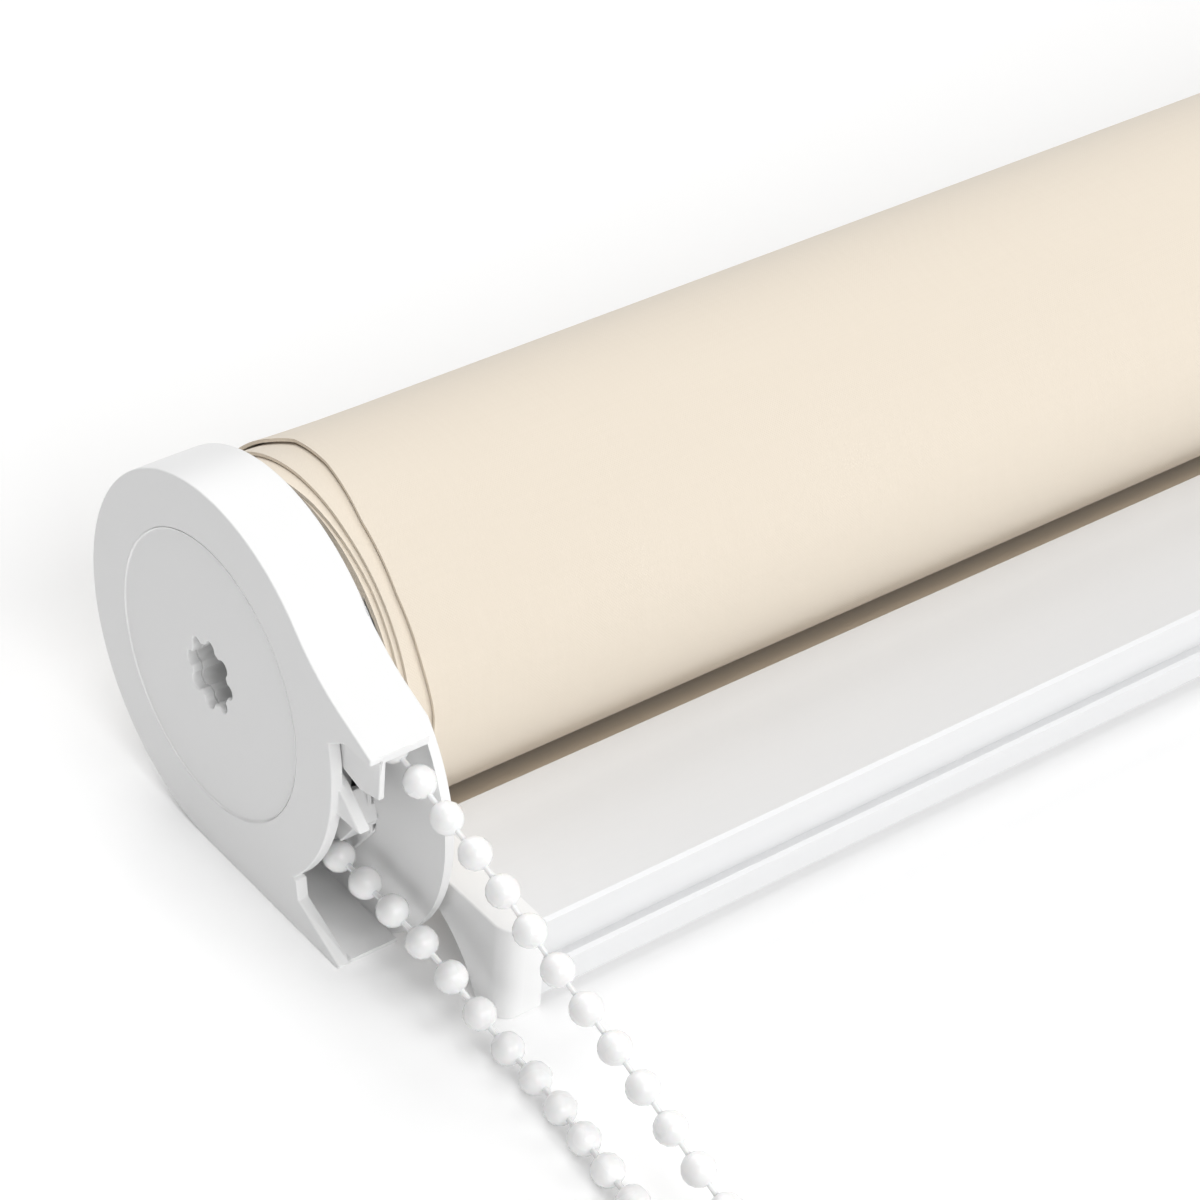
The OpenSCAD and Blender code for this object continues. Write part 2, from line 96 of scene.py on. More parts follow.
class Finish:
    """A surface finish: a principled shader with its steady settings, and what varies over it."""

    def __init__(self, name, roughness, **steady):
        self.material = bpy.data.materials.new(name)
        self.material.use_nodes = True
        self.tree = self.material.node_tree
        self.shader = self.tree.nodes["Principled BSDF"]
        self.shader.inputs["Roughness"].default_value = roughness
        for socket, value in steady.items():
            self.shader.inputs[socket.replace("_", " ")].default_value = value

    def node(self, kind, settings, inputs):
        """Any node: its settings first, then a number, colour or link for each socket named."""
        made = self.tree.nodes.new(kind)
        for key, value in settings.items():
            setattr(made, key, value)
        for key, value in inputs.items():
            if isinstance(value, Value):
                self.tree.links.new(value.socket, made.inputs[key])
            else:
                made.inputs[key].default_value = value
        return {socket.name: Value(self, socket) for socket in made.outputs if socket.enabled}

    def where(self, kind="Object"):
        return self.node("ShaderNodeTexCoord", {}, {})[kind]

    def noise(self, where, scale, detail=2.0, rough=0.5):
        inputs = {"Vector": where, "Scale": scale, "Detail": detail, "Roughness": rough}
        return self.node("ShaderNodeTexNoise", {"noise_dimensions": "3D"}, inputs)["Fac"]

    def stretched(self, where, scale):
        return self.node("ShaderNodeMapping", {}, {"Vector": where, "Scale": scale})["Vector"]

    def between(self, share, first, second):
        """A colour between two others."""
        settings = {"data_type": "RGBA", "clamp_factor": True}
        made = self.tree.nodes.new("ShaderNodeMix")
        for key, value in settings.items():
            setattr(made, key, value)
        for place, value in ((0, share), (6, first), (7, second)):
            if isinstance(value, Value):
                self.tree.links.new(value.socket, made.inputs[place])
            else:
                made.inputs[place].default_value = value
        return Value(self, made.outputs[2])

    def feed(self, socket, value):
        self.tree.links.new(value.socket, self.shader.inputs[socket])

    def relief(self, height, depth, strength=1.0):
        """Raises the surface by up to depth metres where height is 1."""
        inputs = {"Height": height, "Distance": depth, "Strength": strength}
        self.feed("Normal", self.node("ShaderNodeBump", {}, inputs)["Normal"])


def tone(red, green, blue, share=1.0):
    return (red * share, green * share, blue * share, 1.0)


def moulded(name, colour, roughness, grain, **steady):
    """Injection-moulded plastic: a faint sparked grain, cloudier and shinier by patches."""
    finish = Finish(name, roughness, **steady)
    where = finish.where()
    patches = finish.noise(where, 45.0, 3.0)
    fine = finish.noise(where, 2600.0, 2.0)
    flow = finish.noise(finish.stretched(where, (60.0, 220.0, 220.0)), 1.0, 2.0)
    finish.feed("Base Color", finish.between(
        patches * 0.7 + flow * 0.3, tone(*colour, 0.975), tone(*colour, 1.0)))
    finish.feed("Roughness", patches * 0.12 + fine * 0.06 + (roughness - 0.09))
    finish.relief(fine * 0.8 + flow * 0.2, grain)
    return finish.material


class Assembly:
    """A Geometry Nodes tree with named sizes, for what repeats or follows a path."""

    def __init__(self, name, sizes):
        self.tree = bpy.data.node_groups.new(name, "GeometryNodeTree")
        face = self.tree.interface
        face.new_socket("Geometry", in_out="INPUT", socket_type="NodeSocketGeometry")
        for label, value in sizes.items():
            kind = "NodeSocketInt" if isinstance(value, int) else "NodeSocketFloat"
            face.new_socket(label, in_out="INPUT", socket_type=kind).default_value = value
        face.new_socket("Geometry", in_out="OUTPUT", socket_type="NodeSocketGeometry")
        self.given = self.tree.nodes.new("NodeGroupInput").outputs
        self.sizes = sizes

    def node(self, kind, settings, inputs, out=0):
        made = self.tree.nodes.new(kind)
        for key, value in settings.items():
            setattr(made, key, value)
        for key, value in inputs.items():
            if isinstance(value, bpy.types.NodeSocket):
                self.tree.links.new(value, made.inputs[key])
            else:
                made.inputs[key].default_value = value
        return made.outputs[out] if isinstance(out, int) else made

    def joined(self, *parts):
        made = self.tree.nodes.new("GeometryNodeJoinGeometry")
        for part in parts:
            self.tree.links.new(part, made.inputs[0])
        return made.outputs[0]

    def make(self, name, base, material, smooth=True):
        """Closes the tree, runs it on a base mesh and keeps the result as one plain mesh."""
        made = self.tree.nodes[-1].outputs[0]
        solid = self.node("GeometryNodeRealizeInstances", {}, {0: made})
        shaded = self.node("GeometryNodeSetShadeSmooth", {}, {0: solid, 2: smooth})
        painted = self.node("GeometryNodeSetMaterial", {}, {0: shaded, 2: material})
        end = self.tree.nodes.new("NodeGroupOutput")
        self.tree.links.new(painted, end.inputs[0])
        rough = bpy.data.objects.new(name + "_base", base)
        bpy.context.scene.collection.objects.link(rough)
        modifier = rough.modifiers.new("assembly", "NODES")
        modifier.node_group = self.tree
        for item in self.tree.interface.items_tree:
            if item.in_out == "INPUT" and item.name in self.sizes:
                modifier[item.identifier] = self.sizes[item.name]
        bpy.context.view_layer.update()
        graph = bpy.context.evaluated_depsgraph_get()
        mesh = bpy.data.meshes.new_from_object(rough.evaluated_get(graph))
        bpy.data.objects.remove(rough)
        mesh.name = name
        piece = bpy.data.objects.new(name, mesh)
        bpy.context.scene.collection.objects.link(piece)
        return piece


def line_mesh(points, name="path"):
    """A chain of edges through some points, for a tree to follow."""
    mesh = bpy.data.meshes.new(name)
    mesh.from_pydata([tuple(p) for p in points], [(i, i + 1) for i in range(len(points) - 1)], [])
    return mesh


def smooth_line(knots, step):
    """An even run of points on a smooth curve through the knots."""
    p = np.array(knots, float)
    p = np.vstack([2 * p[0] - p[1], p, 2 * p[-1] - p[-2]])
    fine = []
    for i in range(1, len(p) - 2):
        t = np.linspace(0, 1, 24, endpoint=False)[:, None]
        a, b, c, d = p[i - 1], p[i], p[i + 1], p[i + 2]
        fine.append(0.5 * (2 * b + (c - a) * t + (2 * a - 5 * b + 4 * c - d) * t * t
                           + (3 * b - a - 3 * c + d) * t * t * t))
    fine = np.vstack(fine + [p[-2][None]])
    along = np.concatenate([[0], np.cumsum(np.linalg.norm(np.diff(fine, axis=0), axis=1))])
    count = ceil(along[-1] / step) + 1
    at = np.linspace(0, along[-1], count)
    return np.column_stack([np.interp(at, along, fine[:, k]) for k in range(3)]), along[-1]


bead_d = 4.5 * mm
bead_pitch = 6.0 * mm
pockets = 17
first_pocket = radians(20)
wheel_pitch_r = pockets * bead_pitch / (2 * pi)
chain_x = 5.4 * mm
table_z = -28.6 * mm
upper_route = mm * np.array([
    (5.4, -16, 13.1), (5.7, -26, 10.1), (6.2, -36, 6.9), (6.5, -44, 4), (6.8, -51, 1.8),
    (7.1, -57, -0.8), (7.4, -63, -3.7), (7.8, -69, -6.4), (8.2, -76, -9.3), (8.4, -85, -12.9),
    (8.6, -95, -17.2), (8.7, -105, -21), (8.8, -115, -24.4), (8.8, -128, -26.3)])
lower_route = mm * np.array([
    (5.4, -11, -17.2), (5.4, -20, -17.2), (5.4, -29, -17.6), (5.6, -35, -18.1), (6.2, -41, -19.6),
    (6.9, -46, -21.6), (7.5, -51, -24), (7.9, -56, -25.8), (7.8, -64, -26.3), (6.6, -74, -26.3),
    (5.2, -84, -26.3), (4.2, -94, -26.3), (3.6, -104, -25.8), (3.8, -113, -23.4),
    (5.4, -121, -19.4), (8, -129, -15)])
coil_centre = Vector((-20.8 * mm, -140 * mm))
coil_columns = [29.6 * mm, 25.0 * mm, 20.4 * mm]
cord_r = 0.42 * mm
coil_row_z = [-26.35 * mm + 4.6 * mm * k for k in range(4)]


def wheel_point(angle):
    return np.array([chain_x, wheel_pitch_r * cos(angle), wheel_pitch_r * sin(angle)])


def leaving_angle(point, side):
    return atan2(point[2], point[1]) + side * acos(wheel_pitch_r / hypot(point[1], point[2]))


def ease(t):
    return t * t * (3 - 2 * t)


def coil_points():
    """The coil from where the upper strand comes in to where the lower strand leaves."""
    turns = [(0, 0), (1, 0), (2, 0), (2, 1), (1, 1), (0, 1), (0, 2), (1, 2), (2, 2)]
    per_turn = 36
    crossing = 0.2
    points = []
    for n, (column, row) in enumerate(turns):
        last = turns[n - 1] if n else (column, row)
        for k in range(per_turn):
            share = ease(min(1.0, k / per_turn / crossing))
            r = coil_columns[last[0]] * (1 - share) + coil_columns[column] * share
            z = coil_row_z[last[1]] * (1 - share) + coil_row_z[row] * share
            a = -2 * pi * k / per_turn
            points.append((coil_centre.x + r * cos(a), coil_centre.y + r * sin(a), z))
    inner = coil_columns[2]
    low = coil_row_z[0] + 2 * mm
    for k in range(12):
        a = -pi * k / 12
        drop = ease(k / 12)
        points.append((coil_centre.x + inner / 2 + inner / 2 * cos(a),
                       coil_centre.y + inner / 2 * sin(a),
                       coil_row_z[2] * (1 - drop) + low * drop))
    for k in range(12):
        a = pi * k / 12
        climb = ease(k / 12)
        points.append((coil_centre.x - inner / 2 + inner / 2 * cos(a),
                       coil_centre.y + inner / 2 * sin(a),
                       low * (1 - climb) + coil_row_z[3] * climb))
    columns = [2, 2, 1, 0]
    for k in range(int(2.5 * per_turn) + 1):
        turn = pi + 2 * pi * k / per_turn
        n = min(2, int((turn - 1e-6) // (2 * pi)))
        share = ease(min(1.0, (turn - n * 2 * pi) / (2 * pi) / crossing))
        r = coil_columns[columns[n]] * (1 - share) + coil_columns[columns[n + 1]] * share
        points.append((coil_centre.x + r * cos(turn), coil_centre.y + r * sin(turn), coil_row_z[3]))
    return points


upper_leaves = leaving_angle(upper_route[0], -1)
highest_on_wheel = first_pocket + 3 * 2 * pi / pockets
lowest_on_wheel = first_pocket - 5 * 2 * pi / pockets
knots = [wheel_point(a) for a in np.linspace(highest_on_wheel, upper_leaves, 4)]
knots += list(upper_route)
knots += coil_points()
knots += list(lower_route[::-1])
knots.append(wheel_point(lowest_on_wheel))
route, route_length = smooth_line(knots, 2.0 * mm)
route[:, 2] = np.maximum(route[:, 2], table_z + bead_d / 2)
step = route_length / (len(route) - 1)
skip = round(bead_pitch / step)
route = route[skip:len(route) - skip]
route_length = step * (len(route) - 1)
bead_count = round(route_length / bead_pitch) + 1

chain_white = Finish("chain_bead_white", 0.26, Subsurface_Weight=0.06, Subsurface_Scale=0.001,
                     Coat_Weight=0.12, Coat_Roughness=0.2)
where = chain_white.where()
cloudy = chain_white.noise(where, 160.0, 2.0)
chain_white.feed("Base Color", chain_white.between(
    cloudy, tone(0.94, 0.94, 0.938), tone(0.97, 0.97, 0.968)))
chain_white.feed("Roughness", cloudy * 0.14 + 0.2)
chain_white.relief(chain_white.noise(where, 1800.0, 1.0), 0.00001)


def string_of_beads(name, points, count, sides, rings):
    """Beads spaced evenly along a run of cord."""
    string = Assembly(name + "_string", {
        "Bead radius": bead_d / 2, "Cord radius": cord_r, "Beads": count,
        "Bead sides": sides, "Bead rings": rings})
    given = string.given
    run = string.node("GeometryNodeMeshToCurve", {}, {0: given["Geometry"]})
    places = string.node("GeometryNodeCurveToPoints", {"mode": "COUNT"},
                         {"Curve": run, "Count": given["Beads"]}, out="node")
    bead = string.node("GeometryNodeMeshUVSphere", {}, {
        "Segments": given["Bead sides"], "Rings": given["Bead rings"],
        "Radius": given["Bead radius"]})
    beads = string.node("GeometryNodeInstanceOnPoints", {}, {
        "Points": places.outputs["Points"], "Instance": bead,
        "Rotation": places.outputs["Rotation"]})
    section = string.node("GeometryNodeCurvePrimitiveCircle", {"mode": "RADIUS"},
                          {"Resolution": 6, "Radius": given["Cord radius"]})
    cord = string.node("GeometryNodeCurveToMesh", {}, {
        "Curve": run, "Profile Curve": section, "Fill Caps": True})
    string.joined(beads, cord)
    return string.make(name, line_mesh(points), chain_white.material)


chain = string_of_beads("bead_chain", route, bead_count, sides=12, rings=8)
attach(chain, "chain_case")
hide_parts("chain_upper_strand", "chain_lower_strand", "chain_coil")


# ---------------------------------------------------------------- Beads on the wheel
# The beads that sit in the wheel's pockets, on the same cord as the free chain. They are
# drawn still, and do not go round with the wheel.
on_wheel = [wheel_point(a) for a in np.linspace(lowest_on_wheel, highest_on_wheel, 97)]
beads_on_wheel = string_of_beads("beads_on_wheel", on_wheel, 9, sides=16, rings=10)
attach(beads_on_wheel, "chain_case")
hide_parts("chain_on_wheel")


# ---------------------------------------------------------------- Chain connector
# A clear moulded barrel that snaps over the two end beads and makes the chain endless.
# It has a waist.
def joined_mesh(name, vertices, faces, smooth=True):
    """A piece from plain vertices and faces, closed and pointing outwards."""
    mesh = bpy.data.meshes.new(name)
    mesh.from_pydata([tuple(v) for v in vertices], [], [tuple(f) for f in faces])
    work = bmesh.new()
    work.from_mesh(mesh)
    bmesh.ops.remove_doubles(work, verts=work.verts, dist=1e-6)
    bmesh.ops.recalc_face_normals(work, faces=work.faces)
    work.to_mesh(mesh)
    work.free()
    mesh.polygons.foreach_set("use_smooth", [smooth] * len(mesh.polygons))
    piece = bpy.data.objects.new(name, mesh)
    bpy.context.scene.collection.objects.link(piece)
    return piece


def turned(name, profile, centre, axis, sides=48):
    """A turned piece: a profile of (along, radius) pairs spun about an axis through a point."""
    direction = Vector(axis).normalized()
    across = direction.orthogonal().normalized()
    other = direction.cross(across)
    origin = Vector(centre)
    vertices = []
    for along, radius in profile:
        for k in range(sides):
            a = 2 * pi * k / sides
            vertices.append(origin + direction * along
                            + (across * cos(a) + other * sin(a)) * radius)
    faces = []
    for i in range(len(profile) - 1):
        for k in range(sides):
            n = (k + 1) % sides
            faces.append((i * sides + k, i * sides + n, (i + 1) * sides + n, (i + 1) * sides + k))
    return joined_mesh(name, vertices, faces)


def crisp(piece, angle=35):
    """Shades smooth curves smooth and leaves corners sharp."""
    work = bmesh.new()
    work.from_mesh(piece.data)
    for edge in work.edges:
        if len(edge.link_faces) == 2:
            edge.smooth = edge.calc_face_angle(0) < radians(angle)
    work.to_mesh(piece.data)
    work.free()
    piece.data.polygons.foreach_set("use_smooth", [True] * len(piece.data.polygons))
    return piece


clear_white = moulded("connector_milky", (0.86, 0.86, 0.84), 0.3, 0.00001,
                      Transmission_Weight=0.25, IOR=1.49)
connector_half = 5.5 * mm
barrel = [(-connector_half, 0.0), (-connector_half, 1.9 * mm), (-5.2 * mm, 2.4 * mm),
          (-4.6 * mm, 2.75 * mm), (-1.6 * mm, 2.75 * mm), (-1.0 * mm, 2.35 * mm),
          (1.0 * mm, 2.35 * mm), (1.6 * mm, 2.75 * mm), (4.6 * mm, 2.75 * mm),
          (5.2 * mm, 2.4 * mm), (connector_half, 1.9 * mm), (connector_half, 0.0)]
connector = turned("chain_connector_barrel", barrel, (3.9 * mm, -99 * mm, -25.8 * mm), (0, 1, 0), 32)
connector.data.materials.append(clear_white)
crisp(connector)
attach(connector, "chain_case")
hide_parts("chain_connector")


# ---------------------------------------------------------------- Chain case
# A deep moulded cover with a flat face and a nose for the chain, closed at the back by a
# guard plate. Both are satin white plastic with broken corners.
def softened(node, name, radius, material, sharp=32, joints=(), step=None):
    """A copy of a CAD part with its corners broken, but left tight where it meets another
    part, in the planes across X that joints gives. A hair's step in X is levelled first."""
    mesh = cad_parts[node].data.copy()
    mesh.name = name
    work = bmesh.new()
    work.from_mesh(mesh)
    for vertex in work.verts if step else ():
        if abs(vertex.co.x - step[0]) < 0.003 * mm:
            vertex.co.x = step[1]
    bmesh.ops.remove_doubles(work, verts=work.verts, dist=2e-6)
    bmesh.ops.dissolve_degenerate(work, dist=1e-6, edges=work.edges)
    bmesh.ops.dissolve_limit(work, angle_limit=radians(0.7), verts=work.verts, edges=work.edges)
    corners = [e for e in work.edges if len(e.link_faces) == 2
               and e.calc_face_angle(0) > radians(sharp)
               and not any(abs(v.co.x - x) < 0.02 * mm for v in e.verts for x in joints)]
    if radius > 0 and corners:
        bmesh.ops.bevel(work, geom=corners, offset=radius, offset_type="OFFSET", segments=3,
                        profile=0.5, affect="EDGES", clamp_overlap=False)
    for vertex in work.verts:
        vertex.co.z = max(vertex.co.z, table_z)
    for edge in work.edges:
        if len(edge.link_faces) == 2:
            edge.smooth = edge.calc_face_angle(0) < radians(34)
    work.to_mesh(mesh)
    work.free()
    mesh.polygons.foreach_set("use_smooth", [True] * len(mesh.polygons))
    mesh.materials.clear()
    mesh.materials.append(material)
    piece = bpy.data.objects.new(name, mesh)
    bpy.context.scene.collection.objects.link(piece)
    piece.modifiers.new("even_shading", "WEIGHTED_NORMAL").keep_sharp = True
    return piece


case_white = moulded("case_white", (0.92, 0.92, 0.918), 0.42, 0.000012)
case_cover = softened("housing_cover", "case_cover", 0.25 * mm, case_white, joints=(9 * mm,))
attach(case_cover, "chain_case")
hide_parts("housing_cover")

case_guard = softened("guard_plate", "case_guard", 0.25 * mm, case_white, joints=(9 * mm,),
                      step=(10.49 * mm, 10.5 * mm))
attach(case_guard, "chain_case")
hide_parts("guard_plate")

chain_fence = softened("chain_guide", "chain_fence", 0.25 * mm, case_white)
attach(chain_fence, "chain_case")
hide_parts("chain_guide")


# ---------------------------------------------------------------- Chain wheel and clutch
# The wheel is moulded with a pocket for each bead and a sleeve with two fingers that
# release the wrap springs. The crown drives the tube; the fixed spindle carries them all.
wheel_white = moulded("wheel_white", (0.9, 0.9, 0.895), 0.38, 0.00001)
clutch_grey = moulded("clutch_grey", (0.55, 0.56, 0.57), 0.4, 0.000012)
for node, name, radius, material, body, slot in (
        ("sprocket", "chain_wheel", 0.15 * mm, wheel_white, "roller", "satin_white_plastic"),
        ("spindle", "fixed_spindle", 0.15 * mm, case_white, "chain_case", "satin_white_plastic"),
        ("drive_crown", "tube_crown", 0.3 * mm, clutch_grey, "roller", "grey_plastic")):
    part = softened(node, name, radius, material)
    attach(part, body)
    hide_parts(node)

bright_steel = Finish("bright_steel", 0.3, Metallic=1.0)
where = bright_steel.where()
drawn = bright_steel.noise(bright_steel.stretched(where, (400.0, 4000.0, 4000.0)), 1.0, 2.0)
bright_steel.feed("Base Color", bright_steel.between(
    drawn, tone(0.52, 0.52, 0.53), tone(0.68, 0.68, 0.69)))
bright_steel.feed("Roughness", drawn * 0.2 + 0.2)
bright_steel.relief(drawn, 0.000004)

spring_steel = Finish("spring_steel", 0.35, Metallic=1.0)
where = spring_steel.where()
drawn = spring_steel.noise(where, 1500.0, 3.0)
spring_steel.feed("Base Color", spring_steel.between(
    drawn, tone(0.32, 0.32, 0.33), tone(0.5, 0.5, 0.51)))
spring_steel.feed("Roughness", drawn * 0.25 + 0.25)
spring_steel.relief(drawn, 0.000006)


def coil_spring(name, node, start, pitch, turns, mean_r, wire_r):
    """A spring wound about the roller's axis from round wire."""
    winding = Assembly(name + "_winding", {
        "Turns": float(turns), "Mean radius": mean_r, "Height": pitch * turns,
        "Wire radius": wire_r, "Start": start})
    given = winding.given
    spiral = winding.node("GeometryNodeCurveSpiral", {}, {
        "Resolution": 40, "Rotations": given["Turns"], "Start Radius": given["Mean radius"],
        "End Radius": given["Mean radius"], "Height": given["Height"]})
    place = winding.node("ShaderNodeCombineXYZ", {}, {"X": given["Start"]})
    laid = winding.node("GeometryNodeTransform", {}, {
        "Geometry": spiral, "Translation": place, "Rotation": (0.0, pi / 2, 0.0)})
    wire = winding.node("GeometryNodeCurvePrimitiveCircle", {"mode": "RADIUS"},
                        {"Resolution": 12, "Radius": given["Wire radius"]})
    winding.node("GeometryNodeCurveToMesh", {}, {
        "Curve": laid, "Profile Curve": wire, "Fill Caps": True})
    spring = winding.make(name, bpy.data.meshes.new(name + "_none"), spring_steel.material)
    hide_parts(node)
    return spring


for name, node, start in (("wrap_spring_near", "wrap_spring_inner", 25.5 * mm),
                          ("wrap_spring_far", "wrap_spring_outer", 36.5 * mm)):
    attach(coil_spring(name, node, start, 1.3 * mm, 7, 8 * mm, 0.6 * mm), "roller")

for node in ("spindle_washer", "spindle_screw", "cover_screws"):
    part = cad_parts[node]
    part.data.materials.clear()
    part.data.materials.append(bright_steel.material)


# ---------------------------------------------------------------- Roller tube
# Extruded aluminium tube, left as it comes from the press, with a strip of clear
# double-sided tape along it that holds the first turn of cloth.
mill_aluminium = Finish("mill_aluminium", 0.35, Metallic=1.0)
where = mill_aluminium.where()
drawn = mill_aluminium.noise(mill_aluminium.stretched(where, (8.0, 2500.0, 2500.0)), 1.0, 3.0)
mill_aluminium.feed("Base Color", mill_aluminium.between(
    drawn, tone(0.68, 0.69, 0.7), tone(0.82, 0.83, 0.84)))
mill_aluminium.feed("Roughness", drawn * 0.2 + 0.26)
mill_aluminium.relief(drawn, 0.000008)
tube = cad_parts["roller_tube"]
tube.data.materials.clear()
tube.data.materials.append(mill_aluminium.material)

clear_tape = Finish("clear_tape", 0.2)
where = clear_tape.where()
blotch = clear_tape.noise(where, 120.0, 3.0)
clear_tape.feed("Base Color", clear_tape.between(
    blotch, tone(0.78, 0.74, 0.6), tone(0.86, 0.83, 0.72)))
clear_tape.feed("Roughness", blotch * 0.25 + 0.12)
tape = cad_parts["adhesive_strip"]
tape.data.materials.clear()
tape.data.materials.append(clear_tape.material)


# ---------------------------------------------------------------- Cloth
# One length of plain-woven polyester, cream, with a stiffening finish, cut clean at its
# edges. It is wound on the tube in thirteen turns that creep along the tube a little,
# and its end runs under the roll into the bottom rail.
cloth_t = 0.55 * mm
roll_r = 26.5 * mm
first_r = 19.3 * mm
rail_ends = (17.5 * mm, 582.5 * mm)

cream = Finish("cream_cloth", 0.82, Sheen_Weight=0.25, Sheen_Roughness=0.5, Specular_IOR_Level=0.25)
weave = cream.where("UV")
yarns = {}
for label, scale in (("across", (2 * pi / 0.00042, 0.0, 0.0)), ("along", (0.0, 2 * pi / 0.00046, 0.0))):
    mapped = cream.stretched(weave, scale)
    axis = cream.node("ShaderNodeSeparateXYZ", {}, {"Vector": mapped})["X" if label == "across" else "Y"]
    yarns[label] = cream.node("ShaderNodeMath", {"operation": "SINE"}, {0: axis})["Value"]
warp_slub = cream.noise(cream.stretched(weave, (2600.0, 30.0, 1.0)), 1.0, 2.0)
weft_slub = cream.noise(cream.stretched(weave, (30.0, 2600.0, 1.0)), 1.0, 2.0)
clouds = cream.noise(cream.stretched(weave, (9.0, 9.0, 1.0)), 1.0, 2.0)
crossing = yarns["across"] * yarns["along"] * 0.5 + 0.5
cream.feed("Base Color", cream.between(
    crossing * 0.14 + warp_slub * 0.28 + weft_slub * 0.28 + clouds * 0.3,
    tone(0.775, 0.69, 0.575), tone(0.83, 0.75, 0.64)))
cream.feed("Roughness", crossing * 0.1 + 0.78)
cream.relief(crossing * 0.6 + warp_slub * 0.2 + weft_slub * 0.2, 0.00002)


def cloth_mesh(name, line, widths, thickness, shares, lengths, lifts=None):
    """Cloth that follows a line in the Y and Z plane: its edges in X, a real thickness, and
    how far its edge near the case stands off the turn below."""
    line = np.array(line)
    ahead = np.gradient(line, axis=0)
    ahead /= np.linalg.norm(ahead, axis=1)[:, None]
    outward = np.column_stack([-ahead[:, 1], ahead[:, 0]])
    rows, columns = len(line), len(shares)
    divisions = columns - 1
    vertices = []
    for side in (0.5, -0.5):
        for i in range(rows):
            left, right = widths[i]
            for s in shares:
                off = thickness * side + (lifts[i] * max(0.0, 1 - s / 0.03) ** 2 if lifts else 0.0)
                y, z = line[i] + outward[i] * off
                vertices.append((left + (right - left) * s, y, z))
    faces, flat = [], []
    half = rows * columns

    def corner(i, j, side):
        return side * half + i * columns + j

    def spot(i, j):
        left, right = widths[i]
        return (left + (right - left) * shares[j], lengths[i])

    def add(corners):
        faces.append([corner(*c) for c in corners])
        flat.extend(spot(c[0], c[1]) for c in corners)

    for i in range(rows - 1):
        for j in range(divisions):
            add([(i, j, 0), (i + 1, j, 0), (i + 1, j + 1, 0), (i, j + 1, 0)])
            add([(i, j, 1), (i, j + 1, 1), (i + 1, j + 1, 1), (i + 1, j, 1)])
        add([(i, 0, 0), (i, 0, 1), (i + 1, 0, 1), (i + 1, 0, 0)])
        add([(i, divisions, 0), (i + 1, divisions, 0), (i + 1, divisions, 1), (i, divisions, 1)])
    for j in range(divisions):
        add([(0, j, 0), (0, j + 1, 0), (0, j + 1, 1), (0, j, 1)])
        add([(rows - 1, j, 0), (rows - 1, j, 1), (rows - 1, j + 1, 1), (rows - 1, j + 1, 0)])
    mesh = bpy.data.meshes.new(name)
    mesh.from_pydata(vertices, [], faces)
    layer = mesh.uv_layers.new(name="cloth_metres")
    layer.data.foreach_set("uv", np.array(flat).ravel())
    work = bmesh.new()
    work.from_mesh(mesh)
    if work.calc_volume(signed=True) < 0:
        bmesh.ops.reverse_faces(work, faces=work.faces)
    work.to_mesh(mesh)
    work.free()
    mesh.materials.append(cream.material)
    piece = bpy.data.objects.new(name, mesh)
    bpy.context.scene.collection.objects.link(piece)
    return crisp(piece, 50)


slot_mouth = (-26.2 * mm, table_z + 13.1 * mm)
tail_r = roll_r + cloth_t / 2 + 0.02 * mm
tail_angle = atan2(slot_mouth[1], slot_mouth[0]) + acos(tail_r / hypot(*slot_mouth))
turns = (roll_r - first_r) / cloth_t
steps_per_turn = 160
inner_end = 1.95
steps = int(turns * steps_per_turn)
creep_at = [0, 0.3, 0.45, 0.5, 0.53, 0.582, 0.648, 0.713, 0.771, 0.817, 0.9, 1.0, 1.2, 1.45, 1.567,
            1.65, 1.76, 1.9, 2.1, 2.4, 2.557, 2.61, 2.7, 2.8, 3.1, 14]
creep_mm = [18.0, 17.6, 17.5, 18.1, 19.5, 18.8, 16.9, 16.4, 16.9, 17.8, 17.6, 17.2, 16.2, 15.2, 14.9,
            14.5, 14.6, 14.8, 14.3, 13.3, 12.8, 13.5, 14.0, 13.9, 13.3, 13.2]
spiral, edges, lengths, lifts = [], [], [], []
for i in range(steps + 1):
    left_to_go = (steps - i) / steps_per_turn
    angle = tail_angle + 2 * pi * left_to_go
    r = roll_r - cloth_t / 2 - left_to_go * cloth_t
    spiral.append((r * cos(angle), r * sin(angle)))
    creep = float(np.interp(left_to_go, creep_at, creep_mm))
    edges.append(((creep + 0.08 * sin(angle * 3 + 1.3)) * mm, rail_ends[1]))
    looseness = 0.42 if left_to_go < 1 else 0.22 if left_to_go < 2 else 0.1
    lifts.append(looseness * mm * max(0.0, sin(pi * min(1.0, (left_to_go % 1) / 0.98))) ** 1.5
                 if left_to_go < 3 else 0.0)
    lengths.append(inner_end if not lengths else lengths[-1] - hypot(
        spiral[-1][0] - spiral[-2][0], spiral[-1][1] - spiral[-2][1]))
cloth_on_roll = cloth_mesh("cloth_on_roll", spiral, edges, cloth_t * 0.86,
                           (0, 0.004, 0.01, 0.018, 0.03, 0.35, 0.68, 1), lengths, lifts)
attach(cloth_on_roll, "roller")
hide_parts("cloth_roll")

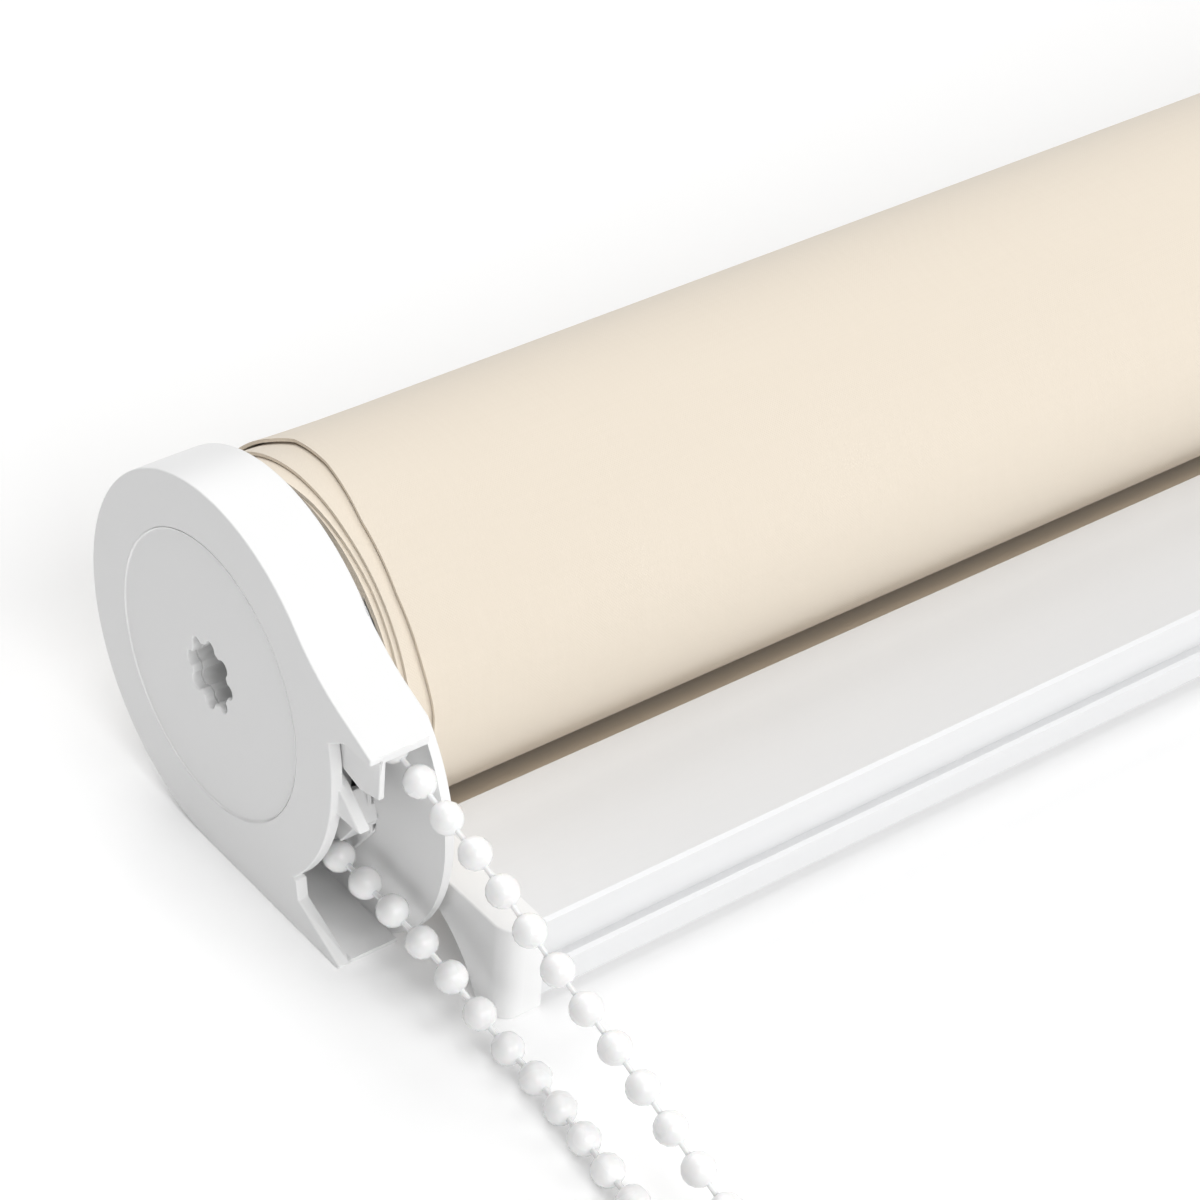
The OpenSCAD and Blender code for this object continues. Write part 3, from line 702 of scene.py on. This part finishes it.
tail_line = [(tail_r * cos(tail_angle + a), tail_r * sin(tail_angle + a))
             for a in np.linspace(radians(14), 0, 8)]
start = np.array(tail_line[-1])
stop = np.array(slot_mouth)
tail_line += [tuple(start + (stop - start) * s) for s in np.linspace(0, 1, 25)[1:]]
tail_line += [(slot_mouth[0] - d * mm, slot_mouth[1]) for d in (0.6, 1.4, 2.2, 3.0)]
tail_lengths = np.concatenate([[0], np.cumsum(np.linalg.norm(np.diff(tail_line, axis=0), axis=1))])
tail = cloth_mesh("cloth_end", tail_line, [rail_ends] * len(tail_line), cloth_t * 0.9,
                  np.linspace(0, 1, 7), -tail_lengths)
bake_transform(tail)
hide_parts("cloth_tail")


# ---------------------------------------------------------------- Bottom rail
# Extruded aluminium with a white lacquer, ridged along its front and open at the back
# edge for the cloth, which a plastic rod keys in. A moulded cap closes each end.
rail_white = Finish("rail_white", 0.3, Coat_Weight=0.2, Coat_Roughness=0.15)
where = rail_white.where()
peel = rail_white.noise(where, 900.0, 2.0)
press_lines = rail_white.noise(rail_white.stretched(where, (1.5, 900.0, 900.0)), 1.0, 2.0)
haze = rail_white.noise(where, 14.0, 2.0)
rail_white.feed("Base Color", rail_white.between(
    haze * 0.6 + press_lines * 0.4, tone(0.765, 0.768, 0.775), tone(0.8, 0.803, 0.81)))
rail_white.feed("Roughness", press_lines * 0.1 + haze * 0.08 + 0.24)
rail_white.relief(peel * 0.7 + press_lines * 0.3, 0.000006)
rail_bar = softened("bottom_rail", "rail_bar", 0.12 * mm, rail_white.material, 30, rail_ends)
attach(rail_bar, "rail")
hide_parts("bottom_rail")

for node, name in (("rail_cap_left", "rail_end_near"), ("rail_cap_right", "rail_end_far")):
    cap = softened(node, name, 0.3 * mm, case_white, joints=rail_ends)
    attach(cap, "rail")
    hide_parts(node)

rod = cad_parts["cloth_spline"]
rod.data.materials.clear()
rod.data.materials.append(clutch_grey)


# ---------------------------------------------------------------- Idle end
# A moulded plug with a flange as wide as the chain case, a sprung steel pin that presses
# in for fitting, and a cap that holds the spring.
idle_grey = moulded("idle_grey", (0.8, 0.8, 0.795), 0.42, 0.000012)
idle_body = softened("idle_plug", "idle_body", 0.3 * mm, idle_grey)
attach(idle_body, "roller")
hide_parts("idle_plug")
pin_spring = coil_spring("pin_spring", "idle_spring", 555.6 * mm, 2.82 * mm, 10, 3.3 * mm, 0.5 * mm)
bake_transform(pin_spring)
sprung_pin = softened("idle_pin", "sprung_pin", 0.4 * mm, bright_steel.material, joints=(597 * mm,))
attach(sprung_pin, "pin")
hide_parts("idle_pin")
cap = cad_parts["plunger_cap"]
cap.data.materials.clear()
cap.data.materials.append(idle_grey)


# ---------------------------------------------------------------- Floor and light
# A plain pale surface that the blind lies on, soft lights at the front right,
# front left, back and overhead, and an even pale surround.
floor_white = Finish("floor_pale", 0.6, Emission_Strength=0.11)
floor_white.shader.inputs["Emission Color"].default_value = tone(1.0, 1.0, 1.0)
where = floor_white.where()
mottle = floor_white.noise(where, 3.0, 2.0)
floor_white.feed("Base Color", floor_white.between(
    mottle, tone(0.9, 0.9, 0.9), tone(0.93, 0.93, 0.93)))
floor_mesh = bpy.data.meshes.new("floor")
floor_mesh.from_pydata([(-6, -6, table_z - 0.00002), (6, -6, table_z - 0.00002),
                        (6, 6, table_z - 0.00002), (-6, 6, table_z - 0.00002)], [], [(0, 1, 2, 3)])
floor_mesh.materials.append(floor_white.material)
floor = bpy.data.objects.new("floor", floor_mesh)
bpy.context.scene.collection.objects.link(floor)


def soft_light(name, place, target, size, watts):
    data = bpy.data.lights.new(name, "AREA")
    data.shape = "SQUARE"
    data.size = size
    data.energy = watts
    lamp = bpy.data.objects.new(name, data)
    bpy.context.scene.collection.objects.link(lamp)
    lamp.location = place
    lamp.rotation_mode = "QUATERNION"
    lamp.rotation_quaternion = (Vector(target) - Vector(place)).to_track_quat("-Z", "Y")
    return lamp


soft_light("key_light", (1.3, -1.9, 1.2), (0.1, -0.03, 0.0), 1.2, 17.0)
soft_light("front_light", (-0.3, -1.8, 1.3), (0.1, 0.0, 0.0), 1.2, 22.0)
soft_light("back_light", (0.3, 1.5, 1.5), (0.1, 0.0, 0.0), 1.6, 22.0)
soft_light("top_light", (0.15, -0.1, 2.0), (0.15, -0.05, 0.0), 1.4, 14.0)
world = bpy.data.worlds.new("studio")
bpy.context.scene.world = world
world.use_nodes = True
world.node_tree.nodes["Background"].inputs["Color"].default_value = (1.0, 1.0, 1.0, 1.0)
world.node_tree.nodes["Background"].inputs["Strength"].default_value = 0.12
bpy.context.scene.view_settings.view_transform = "Standard"
